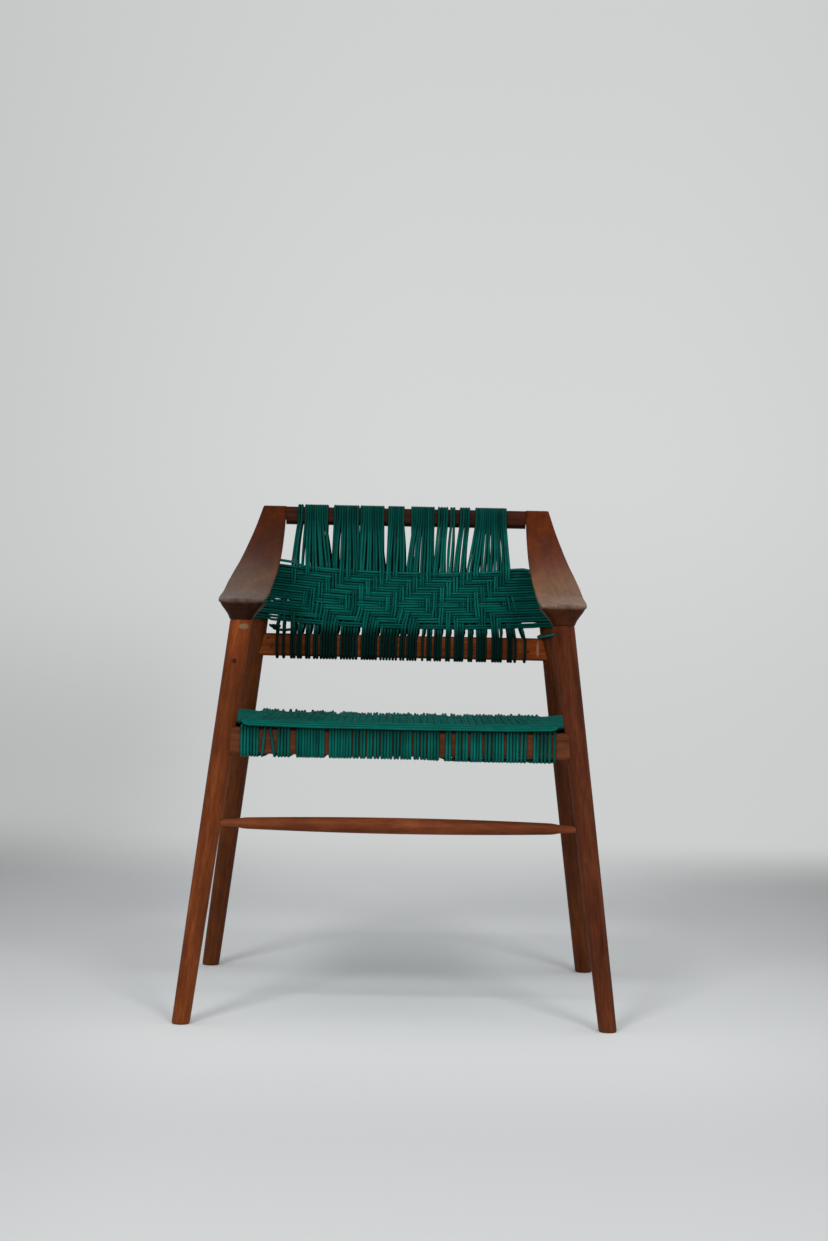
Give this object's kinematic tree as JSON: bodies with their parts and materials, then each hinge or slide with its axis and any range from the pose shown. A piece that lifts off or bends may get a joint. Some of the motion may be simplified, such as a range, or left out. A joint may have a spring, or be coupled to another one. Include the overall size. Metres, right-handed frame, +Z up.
{
  "type": "woven chair",
  "caption": "Wooden armchair with splayed round legs, sculpted arms that sweep up to a crest rail, and a seat and back woven from green cord.",
  "frame": {"origin": "on the floor, under the middle of the chair's box", "axes": "+Z up; the chair faces -Y, so its back is at +Y; +X is the right-hand side as seen by someone facing the chair"},
  "size_m": [0.6032, 0.5261, 0.7142],
  "materials": {
    "frame_wood": "oiled, satin",
    "plug_wood": "oiled, satin",
    "cord": "twisted cord, slight sheen"
  },
  "bodies": {
    "root": {"arm_left": "frame_wood", "arm_right": "frame_wood", "crest_rail": "frame_wood", "front_leg_left": "frame_wood", "front_leg_right": "frame_wood", "front_stretcher": "frame_wood", "lower_back_rail": "frame_wood", "rear_leg_left": "frame_wood", "rear_leg_right": "frame_wood", "seat_front_rail": "frame_wood", "seat_rear_rail": "frame_wood", "seat_side_rail_left": "frame_wood", "seat_side_rail_right": "frame_wood", "leg_plug": "plug_wood", "seat_warp_cords": "cord", "seat_weft_cords": "cord", "back_warp_cords": "cord", "back_weft_cords": "cord", "cord_knot": "cord", "loose_cord_turn": "cord"}
  },
  "joints": []
}
